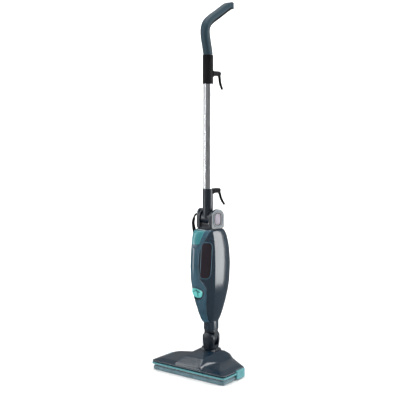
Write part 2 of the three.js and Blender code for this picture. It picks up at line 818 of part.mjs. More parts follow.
// A coil spring, drawn at the length it has when its button is pressed.
function buttonSpring(side) {
  const turns = 2;
  const points = [];
  for (let i = 0; i <= turns * 10; i++) {
    const angle = (2 * Math.PI * i) / 10;
    const x = EAR.inner + 0.8 + (i / (turns * 10)) * 1.4;
    points.push([side * x, BUTTON.y + 4 * Math.cos(angle), BUTTON.z + 4 * Math.sin(angle)]);
  }
  return tube(smooth(points), 0.3, 6, turns * 10);
}

function foldKnuckle() {
  const axle = rod("x", FOLD.axleRadius, -25.7, 25.7, [FOLD.y, FOLD.z]);
  const sides = [
    ["right", 1],
    ["left", -1],
  ];
  return group([
    named("fold_saddle", saddle(), navySatin()),
    named("fold_axle", axle, steel()),
    ...sides.flatMap(([word, side]) => [
      named(`ear_cover_${word}`, earCover(side), navyGloss()),
      named(`fold_button_${word}`, foldButton(side), mauveGrey()),
      named(`button_spring_${word}`, buttonSpring(side), steel()),
    ]),
  ]);
}

// ---- Pole, hooks and grip ----

function lowerSleeve() {
  const { sleeveRadius, tubeRadius, tubeBottom } = POLE;
  const eye = solid(rod("x", sleeveRadius, -17.4, 17.4, [FOLD.y, FOLD.z], 32));
  const shaft = solid(rod("z", sleeveRadius, FOLD.z, LOWER_SLEEVE_TOP, [0, FOLD.y], 32));
  const socket = solid(rod("z", tubeRadius + GAP, tubeBottom - GAP, 700, [0, FOLD.y], 32));
  const axleHole = solid(rod("x", FOLD.axleRadius + GAP, -40, 40, [FOLD.y, FOLD.z]));
  return eye.add(shaft).subtract(socket).subtract(axleHole);
}

function poleTube() {
  const { tubeRadius, tubeWall, tubeBottom, tubeTop } = POLE;
  const outside = solid(rod("z", tubeRadius, tubeBottom, tubeTop, [0, FOLD.y], 32));
  return outside.subtract(solid(rod("z", tubeRadius - tubeWall, 0, 2000, [0, FOLD.y], 32)));
}

function upperSleeve() {
  const { bottom, top } = UPPER_SLEEVE;
  const back = FOLD.y + POLE.sleeveRadius;
  let made = solid(rod("z", POLE.sleeveRadius, bottom, top, [0, FOLD.y], 32));
  const pitch = 9;
  const toothShape = new THREE.Shape(
    [
      [-1.5, 0],
      [3.2, 1],
      [3.2, 4],
      [-1.5, 7],
    ].map((p) => new THREE.Vector2(...p)),
  );
  const tooth = plateAlongX(toothShape, -5.5, 5.5);
  for (let z = bottom + 2; z + 8 < top; z += pitch)
    if (Math.abs(z + 3.5 - UPPER_HOOK_Z) > 11) made = made.add(solid(tooth).translate([0, back, z]));
  return made
    .subtract(solid(rod("z", POLE.tubeRadius + GAP, 0, POLE.tubeTop + GAP, [0, FOLD.y], 32)))
    .subtract(solid(rod("z", 9 + GAP, POLE.tubeTop + 5, 2000, [0, FOLD.y], 20)));
}

// The arm that carries a cord hook: a collar round the sleeve and a box out to the back.
function hookBracket(z) {
  const { halfWidth, height, reach } = HOOK;
  const inner = FOLD.y + POLE.sleeveRadius;
  const collar = solid(
    rod("z", POLE.sleeveRadius + 2.2, z - height / 2, z + height / 2, [0, FOLD.y], 32),
  ).intersect(solid(box(-40, 40, FOLD.y + 5, 60, z - 20, z + 20)));
  const arm = solid(box(-halfWidth, halfWidth, inner - 6, reach - 8.4, z - height / 2, z + height / 2));
  const bore = solid(rod("z", POLE.sleeveRadius + GAP, 0, 2000, [0, FOLD.y], 32));
  const toothRoom = solid(box(-6, 6, inner - 3, inner + 3.6, z - 30, z + 30));
  const pinHole = solid(rod("y", HOOK.pinRadius + GAP, reach - 22, reach, [0, z], 12));
  const nub = solid(rod("y", 2.6, inner + 10, inner + 15, [0, z - height / 2 - 0.8], 12));
  const noTeethHere = z === LOWER_HOOK_Z;
  const whole = collar.add(arm).add(nub);
  const cleared = noTeethHere ? whole : whole.subtract(toothRoom);
  return cleared.subtract(bore).subtract(pinHole);
}

// A hook: a boss that turns on the bracket's pin, and a prong that curves down and out.
function cordHook(z, lean) {
  const { reach, bossRadius } = HOOK;
  const boss = solid(rod("y", bossRadius, reach - 8, reach, [0, z], 24));
  const line = [
    [0, reach - 4, z - 2],
    [0, reach + 0.5 + 0.2 * lean, z - 13],
    [0, reach + 2.5 + 0.5 * lean, z - 26],
    [0, reach + 8 + 0.75 * lean, z - 38],
    [0, reach + 15 + lean, z - 48],
  ];
  const prong = solid(taperedTube(smooth(line), 12, 4.6, 3.8, 10));
  const pinHole = solid(rod("y", HOOK.pinRadius + GAP, reach - 9, reach - 2, [0, z], 12));
  return boss.add(prong).subtract(pinHole);
}

const hookPin = (z) => rod("y", HOOK.pinRadius, HOOK.reach - 21, HOOK.reach - 2.4, [0, z], 12);

// The grip's middle line in Y and Z, from the top of the pole to its far end.
const GRIP_LINE = [
  [0, -19, 998.3],
  [0, -23, 1016],
  [0, -29.5, 1040],
  [0, -34, 1060],
  [0, -33, 1079],
  [0, -22, 1096],
  [0, 0, 1111],
  [0, 30, 1126.5],
  [0, 60, 1143],
  [0, 84, 1155],
  [0, 101, 1159],
];

// One of the grip's two shells. The seam runs a third of the way in from the back.
function gripShell(back) {
  const curve = smooth(GRIP_LINE);
  const steps = 26;
  const rings = [];
  for (let i = 0; i <= steps; i++) {
    const at = curve.getPointAt(i / steps);
    const along = curve.getTangentAt(i / steps);
    const front = new THREE.Vector3(0, -along.z, along.y);
    const fade = Math.min(1, (steps - i + 1) / 3);
    const [halfWidth, depth] = [THREE.MathUtils.lerp(11, 14, fade), THREE.MathUtils.lerp(10, 13, fade)];
    const seam = -4;
    const outline = back
      ? [
          [-halfWidth + 1, seam - GAP],
          [-halfWidth + 2, -depth + 4],
          [-halfWidth + 6, -depth],
          [halfWidth - 6, -depth],
          [halfWidth - 2, -depth + 4],
          [halfWidth - 1, seam - GAP],
        ]
      : [
          [halfWidth, seam],
          [halfWidth, 5],
          [halfWidth - 4, depth - 2],
          [halfWidth - 8, depth],
          [8 - halfWidth, depth],
          [4 - halfWidth, depth - 2],
          [-halfWidth, 5],
          [-halfWidth, seam],
        ];
    rings.push(
      outline.map(([x, y]) => at.clone().addScaledVector(front, y).add(new THREE.Vector3(x, 0, 0))),
    );
  }
  return loft(rings);
}

function gripFront() {
  const spigot = solid(rod("z", 9, POLE.tubeTop + 8, 1006, [0, FOLD.y], 20));
  const lip = solid(
    plateAlongX(
      roundedPolygon(
        [
          [94, 1171],
          [106, 1170],
          [107, 1149],
          [98, 1147],
        ].map((c) => new THREE.Vector2(...c)),
        4,
      ),
      -10.5,
      10.5,
    ),
  );
  const above = solid(box(-40, 40, -80, 130, 998.2, 1300)).add(spigot);
  return solid(gripShell(false)).add(spigot).add(lip).intersect(above);
}

function gripBack() {
  const above = solid(box(-40, 40, -80, 92, 998.2, 1300));
  const spigotRoom = solid(rod("z", 9 + GAP, 900, 1006 + GAP, [0, FOLD.y], 20));
  return solid(gripShell(true)).intersect(above).subtract(spigotRoom);
}

function poleAssembly() {
  return group([
    named("lower_sleeve", lowerSleeve(), navySatin()),
    named("pole_tube", poleTube(), aluminium()),
    named("upper_sleeve", upperSleeve(), blackPlastic()),
    named("grip_front", gripFront(), navyGloss()),
    named("grip_back", largest(gripBack()), rubber()),
    ...[
      ["upper", UPPER_HOOK_Z, 0],
      ["lower", LOWER_HOOK_Z, 13],
    ].flatMap(([word, z, lean]) => [
      named(`${word}_hook_bracket`, hookBracket(z), blackPlastic()),
      named(`${word}_hook`, cordHook(z, lean), blackPlastic()),
      named(`${word}_hook_pin`, hookPin(z), steel()),
    ]),
  ]);
}

// ---- Power lead ----

// The lead's way from the boot over the left ear and down behind the body to the hank.
const LEAD_ROUTE = [
  [-51.6, -22.5, 488],
  [-53.7, -14.6, 494.2],
  [-56, -4.9, 497],
  [-58.4, 5.1, 496.2],
  [-60.7, 14.1, 491.7],
  [-62.6, 20.8, 484.3],
  [-63.7, 24.4, 474.9],
  [-64, 31, 440],
  [-64, 37, 405],
  [-63.5, 43, 362],
  [-63, 51, 312],
  [-63, 58.5, 262],
  [-63.5, 65, 212],
  [-66, 71, 165],
  [-71.5, 77, 120],
  [-78, 82, 84],
  [-81.2, 84.2, 62],
  [-81.4, 84.3, 49.5],
];

// The boot's curved upper half, which bends over with the lead.
const BOOT_ROUTE = [BOOT.start, [-45.5, -29.3, 447], BOOT.end, [-49.9, -28.2, 479], [-51.2, -23.4, 486.8]];

// The lead's end: out of the hank's side, round its far end and into the plug on top.
const TAIL_ROUTE = [
  [258, -23.4, 12.5],
  [275, -23.4, 15],
  [289, -23, 25],
  [296, -20.5, 41],
  [292.5, -15.5, 59],
  [279, -9, 72.5],
  [260, -3.5, 79],
  [241, -0.8, 80.1],
  [222.4, 0, 80.1],
];

// Turns a place given along the hank, across it and up into the part's frame.
function beside([along, across, up]) {
  const [c, s] = [Math.cos(VIEW_LINE), Math.sin(VIEW_LINE)];
  return [c * across - s * along, s * across + c * along, up];
}

const layAlong = (made) => made.rotate([0, 0, THREE.MathUtils.radToDeg(VIEW_LINE)]);

function hank() {
  const { near, run, radius, halfWidth, lift } = HANK;
  const shape = new THREE.Shape();
  shape.absarc(near, radius + lift, radius, Math.PI / 2, (3 * Math.PI) / 2, false);
  shape.absarc(near + run, radius + lift, radius, -Math.PI / 2, Math.PI / 2, false);
  shape.closePath();
  const middle = near + run / 2;
  const outside = solid(
    box(-halfWidth - 2, halfWidth + 2, middle - 8, middle + 8, 0.2, 2 * radius + 2 * lift - 0.2),
  );
  const inside = solid(
    box(-halfWidth - GAP, halfWidth + GAP, middle - 20, middle + 20, lift - GAP, 2 * radius + lift + GAP),
  );
  return {
    bundle: layAlong(solid(plateAlongX(shape, -halfWidth, halfWidth, 8))),
    tie: layAlong(outside.subtract(inside)),
  };
}

const PLUG = { front: 158, back: 198, radius: 18.4, pinRadius: 2.4, pinLength: 19, height: 80.1 };

function plugParts() {
  const { front, back, radius, pinRadius, pinLength, height } = PLUG;
  const profile = [
    [0, front],
    [radius, front],
    [radius, front + 14],
    [radius - 3, front + 20],
    [12, back - 4],
    [9, back],
    [5.5, back + 2],
    [4.4, back + 24],
    [0, back + 24],
  ].map((p) => new THREE.Vector2(...p));
  const body = solid(new THREE.LatheGeometry(profile, 24)).translate([0, 0, height]);
  const sides = [
    ["plug_pin_right", 9.5],
    ["plug_pin_left", -9.5],
  ];
  const holes = sides.map(([, x]) => solid(rod("y", pinRadius + GAP, front - 5, front + 6, [x, height], 12)));
  const bodyWithHoles = holes.reduce((made, hole) => made.subtract(hole), body);
  return [
    named("plug", layAlong(bodyWithHoles), blackPlastic()),
    ...sides.map(([name, x]) =>
      named(
        name,
        layAlong(solid(rod("y", pinRadius, front - pinLength, front + 5.6, [x, height], 12))),
        brass(),
      ),
    ),
  ];
}

function powerLead() {
  const { bundle, tie } = hank();
  return group([
    named("cord_boot", taperedTube(smooth(BOOT_ROUTE), 10, BOOT.radius, BOOT.tip, 12), rubber()),
    named("cord_drop", tube(smooth(LEAD_ROUTE), LEAD.radius, LEAD.sides, 44), rubber()),
    named("cord_hank", bundle, rubber()),
    named("cord_tail", tube(smooth(TAIL_ROUTE.map(beside)), LEAD.radius, LEAD.sides, 12), rubber()),
    named("hank_tie", tie, blackPlastic()),
    ...plugParts(),
  ]);
}

// ---- The whole mop ----

const steamMop = group([floorHead(), neckJoint(), mainBody(), foldKnuckle(), poleAssembly(), powerLead()]);

export default steamMop;
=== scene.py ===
"""Looks for the steam mop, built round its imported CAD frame. Metres, +Z up, -Y the front."""
import json
import math

import bmesh
import bpy
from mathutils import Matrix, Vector, noise


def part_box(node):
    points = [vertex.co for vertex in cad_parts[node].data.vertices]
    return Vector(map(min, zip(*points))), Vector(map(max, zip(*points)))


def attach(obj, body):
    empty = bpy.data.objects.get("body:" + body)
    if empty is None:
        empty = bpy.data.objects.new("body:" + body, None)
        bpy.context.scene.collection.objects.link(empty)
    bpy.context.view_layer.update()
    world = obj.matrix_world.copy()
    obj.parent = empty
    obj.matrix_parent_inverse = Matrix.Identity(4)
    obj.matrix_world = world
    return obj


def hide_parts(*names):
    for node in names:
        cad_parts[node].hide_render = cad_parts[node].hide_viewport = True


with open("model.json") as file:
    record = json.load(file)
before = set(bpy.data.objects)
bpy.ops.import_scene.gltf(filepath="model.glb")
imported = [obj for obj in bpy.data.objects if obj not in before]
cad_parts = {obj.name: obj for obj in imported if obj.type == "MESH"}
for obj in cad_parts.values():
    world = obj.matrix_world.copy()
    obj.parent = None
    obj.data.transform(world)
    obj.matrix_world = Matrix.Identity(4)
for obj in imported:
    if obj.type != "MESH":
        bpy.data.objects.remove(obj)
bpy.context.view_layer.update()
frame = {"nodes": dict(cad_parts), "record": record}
scene = bpy.context.scene

# ---- Camera ----

VIEW_TURN = math.radians(36)
ACROSS = Vector((math.cos(VIEW_TURN), math.sin(VIEW_TURN), 0))
AWAY = Vector((-math.sin(VIEW_TURN), math.cos(VIEW_TURN), 0))
CAMERA = {"lens_mm": 71.3, "sensor_mm": 36, "back": 2.5, "height": 0.81}
AIM = {"left": 0.036, "height": 0.545}


def make_camera():
    data = bpy.data.cameras.new("view_camera")
    data.lens = CAMERA["lens_mm"]
    data.sensor_width = CAMERA["sensor_mm"]
    camera = bpy.data.objects.new("view_camera", data)
    scene.collection.objects.link(camera)
    camera.location = -CAMERA["back"] * AWAY + Vector((0, 0, CAMERA["height"]))
    target = -AIM["left"] * ACROSS + Vector((0, 0, AIM["height"]))
    camera.rotation_euler = (target - camera.location).to_track_quat("-Z", "Y").to_euler()
    scene.camera = camera


make_camera()

# ---- Materials ----

# Where nearly all of a noise texture's values lie, for gloss and for colour.
GLOSS_SPAN = (0.35, 0.65)
COLOR_SPAN = (0.35, 0.7)
# Pointiness from where an edge starts to look rubbed to where it is fully so.
EDGE_SPAN = (0.52, 0.6)
PATCH_DETAIL = 4


class Recipe:
    """A node material built up one layer at a time. Colour is varied before its edges are worn."""

    def __init__(self, name, color, roughness, metallic=0.0):
        self.material = bpy.data.materials.new(name)
        self.material.use_nodes = True
        self.tree = self.material.node_tree
        self.shader = self.tree.nodes["Principled BSDF"]
        self.shader.inputs["Metallic"].default_value = metallic
        self.shader.inputs["Roughness"].default_value = roughness
        self.shader.inputs["Base Color"].default_value = (*color, 1)
        self.color = color
        self.color_end = None
        self.normal = None
        self.place = self.tree.nodes.new("ShaderNodeTexCoord").outputs["Object"]

    def node(self, kind, **inputs):
        made = self.tree.nodes.new(kind)
        for key, value in inputs.items():
            made.inputs[key].default_value = value
        return made

    def link(self, start, end):
        self.tree.links.new(start, end)

    def noise(self, scale, detail=3.0, stretch=None):
        made = self.node("ShaderNodeTexNoise", Scale=scale, Detail=detail)
        place = self.place
        if stretch:
            mapping = self.tree.nodes.new("ShaderNodeMapping")
            mapping.inputs["Scale"].default_value = stretch
            self.link(place, mapping.inputs["Vector"])
            place = mapping.outputs["Vector"]
        self.link(place, made.inputs["Vector"])
        return made.outputs["Fac"]

    def ramp(self, source, low, high, start, end):
        made = self.tree.nodes.new("ShaderNodeMapRange")
        for key, value in (("From Min", start), ("From Max", end), ("To Min", low), ("To Max", high)):
            made.inputs[key].default_value = value
        self.link(source, made.inputs["Value"])
        return made.outputs["Result"]

    def vary_roughness(self, scale, low, high, stretch=None):
        patches = self.noise(scale, PATCH_DETAIL, stretch)
        self.link(self.ramp(patches, low, high, *GLOSS_SPAN), self.shader.inputs["Roughness"])
        return self

    def vary_color(self, scale, other, share=1.0, stretch=None):
        mix = self.tree.nodes.new("ShaderNodeMix")
        mix.data_type = "RGBA"
        mix.inputs["A"].default_value = (*self.color, 1)
        mix.inputs["B"].default_value = (*other, 1)
        patches = self.noise(scale, PATCH_DETAIL, stretch)
        self.link(self.ramp(patches, 0, share, *COLOR_SPAN), mix.inputs["Factor"])
        self.link(mix.outputs["Result"], self.shader.inputs["Base Color"])
        self.color_end = mix.outputs["Result"]
        return self

    def worn_edges(self, pale, share=0.35):
        geometry = self.tree.nodes.new("ShaderNodeNewGeometry")
        edge = self.ramp(geometry.outputs["Pointiness"], 0, share, *EDGE_SPAN)
        mix = self.tree.nodes.new("ShaderNodeMix")
        mix.data_type = "RGBA"
        self.link(edge, mix.inputs["Factor"])
        self.link(self.color_end, mix.inputs["A"])
        mix.inputs["B"].default_value = (*pale, 1)
        self.link(mix.outputs["Result"], self.shader.inputs["Base Color"])
        return self

    def bump(self, height, depth, strength=0.5):
        made = self.node("ShaderNodeBump", Strength=strength, Distance=depth)
        self.link(height, made.inputs["Height"])
        if self.normal is not None:
            self.link(self.normal, made.inputs["Normal"])
        self.normal = made.outputs["Normal"]
        self.link(self.normal, self.shader.inputs["Normal"])
        return self


def linear(red, green, blue):
    """Linear light from sRGB values of 11 to 255, where the curve is a plain power."""
    return tuple(((c / 255 + 0.055) / 1.055) ** 2.4 for c in (red, green, blue))


def moulded(name, color, roughness, coat=0.0, grain=0.00003, wear=0.3, specular=0.5):
    """Moulded plastic: slight flow marks in colour and gloss, fine grain, rubbed edges."""
    recipe = Recipe(name, color, roughness)
    paler = tuple(min(1, 1.25 * c + 0.01) for c in color)
    rubbed = tuple(min(1, 1.8 * c + 0.03) for c in color)
    recipe.vary_color(scale=9, other=paler, share=0.25)
    recipe.worn_edges(pale=rubbed, share=wear)
    recipe.vary_roughness(scale=12, low=roughness * 0.94, high=min(1, roughness * 1.1))
    recipe.bump(recipe.noise(scale=2600, detail=2), depth=grain, strength=0.35)
    recipe.shader.inputs["Specular IOR Level"].default_value = specular
    recipe.shader.inputs["Coat Weight"].default_value = coat
    recipe.shader.inputs["Coat Roughness"].default_value = 0.12
    return recipe.material


def brushed(name, color, roughness, stretch):
    """Metal with drawn lines along one axis, given by the small number in stretch."""
    recipe = Recipe(name, color, roughness, metallic=1.0)
    recipe.vary_roughness(scale=500, low=roughness * 0.75, high=roughness * 1.4, stretch=stretch)
    recipe.vary_color(scale=14, other=tuple(0.82 * c for c in color), share=0.5)
    recipe.bump(recipe.noise(scale=900, detail=2, stretch=stretch), depth=0.00002, strength=0.3)
    return recipe.material


def clear_smoke(name, color):
    """Dark see-through plastic with a glossy skin."""
    recipe = Recipe(name, color, roughness=0.08)
    recipe.shader.inputs["Transmission Weight"].default_value = 0.45
    recipe.shader.inputs["IOR"].default_value = 1.49
    recipe.shader.inputs["Coat Weight"].default_value = 0.6
    recipe.vary_roughness(scale=25, low=0.05, high=0.14)
    recipe.vary_color(scale=12, other=tuple(1.4 * c for c in color), share=0.5)
    return recipe.material


def microfibre(name, color):
    """Short looped pile: two sizes of tuft, soft sheen, patchy colour."""
    recipe = Recipe(name, color, roughness=0.95)
    recipe.vary_color(scale=60, other=tuple(0.72 * c for c in color), share=0.9)
    recipe.bump(recipe.noise(scale=420, detail=5), depth=0.0012, strength=0.8)
    recipe.bump(recipe.noise(scale=1500, detail=2), depth=0.0004, strength=0.7)
    recipe.shader.inputs["Sheen Weight"].default_value = 0.35
    return recipe.material


LOOKS = {
    "navy_gloss": moulded("navy_gloss", linear(14, 34, 48), roughness=0.24, coat=0.4),
    "navy_satin": moulded("navy_satin", linear(12, 24, 36), roughness=0.36, coat=0.1),
    "navy_matt": moulded(
        "navy_matt", linear(26, 50, 62), roughness=0.5, grain=0.00005, wear=0.2, specular=0.3
    ),
    "strip_gloss": moulded("strip_gloss", linear(36, 68, 84), roughness=0.24, coat=0.5),
    "teal_pale": moulded("teal_pale", linear(82, 140, 146), roughness=0.38, coat=0.2),
    "teal_lid": moulded("teal_lid", linear(44, 118, 124), roughness=0.33, coat=0.2),
    "mint": moulded("mint", linear(84, 172, 170), roughness=0.35, coat=0.1),
    "mauve_grey": moulded("mauve_grey", linear(128, 122, 134), roughness=0.45),
    "black": moulded("black_plastic", linear(13, 12, 16), roughness=0.62, wear=0.12, specular=0.12),
    "rubber": moulded(
        "rubber", linear(18, 17, 22), roughness=0.8, grain=0.00008, wear=0.12, specular=0.15
    ),
    "aluminium": brushed("aluminium", linear(200, 202, 206), roughness=0.27, stretch=(1, 1, 0.03)),
    "steel": brushed("steel", linear(160, 162, 166), roughness=0.35, stretch=(0.05, 1, 1)),
    "brass": brushed("brass", linear(190, 152, 84), roughness=0.35, stretch=(1, 1, 0.1)),
    "microfibre": microfibre("microfibre", linear(96, 124, 134)),
    "smoke": clear_smoke("smoked_plastic", linear(34, 22, 34)),
    "white": moulded("white_plastic", linear(214, 214, 208), roughness=0.5),
}

SLOT_OF = {part["node"]: part["material_slot"] for part in frame["record"]["subparts"]}
# Nodes whose finish differs a little from the rest of their slot.
OWN_LOOK = {"grip_front": "navy_matt"}
EDGE_WIDTH = {"small": 0.0004, "normal": 0.0009}
FINE_SLOTS = ("steel", "brass", "white", "aluminium")
SHARP_ANGLE = math.radians(34)
JOIN_WITHIN = 0.00001
SKIN = {"voxel": 0.0014, "smoothing": 0.5, "passes": 14}


def soften_edges(piece, width):
    """Joins the mesh's split corners, rounds its edges and shades its flat faces evenly."""
    weld = piece.modifiers.new("joined_corners", "WELD")
    weld.merge_threshold = JOIN_WITHIN
    bevel = piece.modifiers.new("round_edges", "BEVEL")
    bevel.width = width
    bevel.segments = 2
    bevel.limit_method = "ANGLE"
    bevel.angle_limit = SHARP_ANGLE
    bevel.use_clamp_overlap = True
    piece.modifiers.new("even_shading", "WEIGHTED_NORMAL")


def flowing_skin(piece):
    """Turns a shell of flat facets into one flowing moulding, with its ridges rounded."""
    weld = piece.modifiers.new("joined_corners", "WELD")
    weld.merge_threshold = JOIN_WITHIN
    remesh = piece.modifiers.new("even_faces", "REMESH")
    remesh.mode = "VOXEL"
    remesh.voxel_size = SKIN["voxel"]
    remesh.use_smooth_shade = True
    smooth = piece.modifiers.new("flowing", "SMOOTH")
    smooth.factor = SKIN["smoothing"]
    smooth.iterations = SKIN["passes"]


def dress_cad_nodes():
    for name, node in frame["nodes"].items():
        node.data.materials.clear()
        node.data.materials.append(LOOKS[OWN_LOOK.get(name, SLOT_OF[name])])
        for face in node.data.polygons:
            face.use_smooth = True
        if name == "head_cover":
            flowing_skin(node)
            continue
        soften_edges(node, EDGE_WIDTH["small" if SLOT_OF[name] in FINE_SLOTS else "normal"])


dress_cad_nodes()

# ---- Making pieces ----


def piece_from(name, mesh, slot, body, *replaced):
    made = bpy.data.objects.new(name, mesh)
    scene.collection.objects.link(made)
    mesh.materials.append(LOOKS[slot])
    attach(made, body)
    if replaced:
        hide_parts(*replaced)
    return made


def mesh_of(name, points, faces):
    mesh = bpy.data.meshes.new(name)
    mesh.from_pydata(points, [], faces)
    graph = bmesh.new()
    graph.from_mesh(mesh)
    bmesh.ops.recalc_face_normals(graph, faces=graph.faces)
    graph.to_mesh(mesh)
    graph.free()
    for face in mesh.polygons:
        face.use_smooth = True
    return mesh


def catmull(points, per_span):
    """Centripetal Catmull-Rom through points, the same curve as the CAD part's."""
    points = [Vector(p) for p in points]
    ends = [2 * points[0] - points[1], *points, 2 * points[-1] - points[-2]]
    out = []
    for i in range(1, len(ends) - 2):
        p0, p1, p2, p3 = ends[i - 1 : i + 3]
        t0 = 0
        t1 = t0 + max(1e-9, (p1 - p0).length ** 0.5)
        t2 = t1 + max(1e-9, (p2 - p1).length ** 0.5)
        t3 = t2 + max(1e-9, (p3 - p2).length ** 0.5)
        for k in range(per_span):
            t = t1 + (t2 - t1) * k / per_span
            a1 = p0.lerp(p1, (t - t0) / (t1 - t0))
            a2 = p1.lerp(p2, (t - t1) / (t2 - t1))
            a3 = p2.lerp(p3, (t - t2) / (t3 - t2))
            b1 = a1.lerp(a2, (t - t0) / (t2 - t0))
            b2 = a2.lerp(a3, (t - t1) / (t3 - t1))
            out.append(b1.lerp(b2, (t - t1) / (t2 - t1)))
    return [*out, points[-1]]


def tube_mesh(name, path, radius_at, sides=14):
    """A tube along path with parallel-carried rings. radius_at(share) gives its radius."""
    rings = []
    along = (path[1] - path[0]).normalized()
    side = along.orthogonal().normalized()
    for i, centre in enumerate(path):
        ahead = path[min(i + 1, len(path) - 1)] - path[max(i - 1, 0)]
        along = ahead.normalized()
        side = (side - along * side.dot(along)).normalized()
        other = along.cross(side)
        radius = radius_at(i / (len(path) - 1))
        for k in range(sides):
            angle = 2 * math.pi * k / sides
            rings.append(centre + radius * (math.cos(angle) * side + math.sin(angle) * other))
    faces = []
    for i in range(len(path) - 1):
        for k in range(sides):
            a, b = i * sides + k, i * sides + (k + 1) % sides
            faces.append((a, b, b + sides, a + sides))
    faces.append(tuple(range(sides))[::-1])
    faces.append(tuple(range(len(rings) - sides, len(rings))))
    return mesh_of(name, [tuple(p) for p in rings], faces)


# ---- Power lead ----

LEAD_RADIUS = 0.0031
BOOT = {"root_radius": 0.0062, "taper": 0.002, "groove": 0.0005, "ribs_from": 0.45, "ribs": 34}
# Routes in millimetres, as the CAD part has them.
BOOT_POINTS = [
    (-42, -28, 425),
    (-45.5, -29.3, 447),
    (-49, -30.5, 469),
    (-49.9, -28.2, 479),
    (-51.2, -23.4, 486.8),
]
LEAD_POINTS = [
    (-51.6, -22.5, 488),
    (-53.7, -14.6, 494.2),
    (-56, -4.9, 497),
    (-58.4, 5.1, 496.2),
    (-60.7, 14.1, 491.7),
    (-62.6, 20.8, 484.3),
    (-63.7, 24.4, 474.9),
    (-64, 31, 440),
    (-64, 37, 405),
    (-63.5, 43, 362),
    (-63, 51, 312),
    (-63, 58.5, 262),
    (-63.5, 65, 212),
    (-66, 71, 165),
    (-71.5, 77, 120),
    (-78, 82, 84),
    (-81.2, 84.2, 62),
    (-81.4, 84.3, 49.5),
]
# The tail's points, also in millimetres, are given away from the camera, across its view and up.
TAIL_POINTS = [
    (258, -23.4, 12.5),
    (275, -23.4, 15),
    (289, -23, 25),
    (296, -20.5, 41),
    (292.5, -15.5, 59),
    (279, -9, 72.5),
    (260, -3.5, 79),
    (241, -0.8, 80.1),
    (222.4, 0, 80.1),
]
HANK = {"near": 0.142, "run": 0.117, "radius": 0.02925, "lift": 0.0022, "half_width": 0.0195}
# Two layers of columns side by side. The lead crosses to the next one late in each turn.
TURNS = {"columns": 6, "steps": 96, "cross_from": 0.61, "cross_to": 0.89, "end_along": 0.066}
HANK_SKIN_GAP = 0.0003
LAYER_STEP = 2.08 * LEAD_RADIUS


def metres(points):
    return [Vector(p) / 1000 for p in points]


def beside(along, across, up):
    """A place given away from the camera, across its view and up. The hank lies along the first."""
    return AWAY * along + ACROSS * across + Vector((0, 0, up))


def eased(share, start, end):
    """0 before start, 1 after end, and a smooth step between."""
    step = min(1, max(0, (share - start) / (end - start)))
    return step * step * (3 - 2 * step)


def racetrack(run, straight, radius):
    """(along, up) after some distance round an upright racetrack, from its near end going down."""
    quarter = math.pi * radius / 2
    if run < quarter:
        angle = run / radius
        return -radius * math.cos(angle), -radius * math.sin(angle)
    run -= quarter
    if run < straight:
        return run, -radius
    run -= straight
    if run < 2 * quarter:
        angle = run / radius
        return straight + radius * math.sin(angle), -radius * math.cos(angle)
    run -= 2 * quarter
    if run < straight:
        return straight - run, radius
    angle = (run - straight) / radius
    return -radius * math.sin(angle), radius * math.cos(angle)


def hank_points():
    """The lead's turns: columns side by side from left to right, then back inside them."""
    columns, steps = TURNS["columns"], TURNS["steps"]
    outermost = HANK["half_width"] - LEAD_RADIUS
    pitch = 2 * outermost / (columns - 1)
    outer = HANK["radius"] - LEAD_RADIUS - HANK_SKIN_GAP
    inner = outer - LAYER_STEP
    centre_z = HANK["lift"] + HANK["radius"]
    points = []
    for turn in range(2 * columns):
        for i in range(steps):
            share = i / steps
            moved = eased(share, TURNS["cross_from"], TURNS["cross_to"])
            radius = outer if turn < columns else inner
            if turn == columns - 1:
                radius = outer + (inner - outer) * moved
            if turn < columns:
                column = min(turn + moved, columns - 1)
            else:
                column = max(0, 2 * columns - 1 - turn - moved)
            length = 2 * HANK["run"] + 2 * math.pi * radius
            along, up = racetrack(share * length, HANK["run"], radius)
            if turn == 2 * columns - 1 and along > TURNS["end_along"]:
                return points
            points.append(beside(HANK["near"] + along, column * pitch - outermost, centre_z + up))
    return points


def boot_radius(share):
    """The boot tapers along its length, and its outer half is grooved to bend."""
    grooved = share > BOOT["ribs_from"] and int(share * BOOT["ribs"]) % 2
    return BOOT["root_radius"] - BOOT["taper"] * share - (BOOT["groove"] if grooved else 0)


def power_lead():
    boot_mesh = tube_mesh("lead_boot", catmull(metres(BOOT_POINTS), 16), boot_radius, 20)
    piece_from("lead_boot", boot_mesh, "rubber", "housing", "cord_boot")
    drop = catmull(metres(LEAD_POINTS), 6)
    coil = hank_points()
    tail = catmull([beside(*(c / 1000 for c in p)) for p in TAIL_POINTS], 6)
    path = [*drop, *coil, *tail]
    lead = piece_from(
        "power_lead",
        tube_mesh("power_lead", path, lambda s: LEAD_RADIUS, 10),
        "rubber",
        "housing",
        "cord_drop",
        "cord_hank",
        "cord_tail",
    )


power_lead()

# ---- Cleaning pad ----

PAD = {"voxel": 0.004, "shrink": 0.0005, "pressure": 4, "most_puff": 0.003, "frames": 20}
# Levels run from -1 at the pad's foot to 1 at its top.
EDGE_PULL = {"beyond_level": 0.4, "amount": 0.0028}
SEAM = {"x": 0.047, "reach": 0.006, "depth": 0.0016}
# Unevenness of the pad's side, as noise scale and amount.
WOBBLES = ((90, 0.00045), (30, 0.0004))
WOBBLE_LEVEL = 0.8


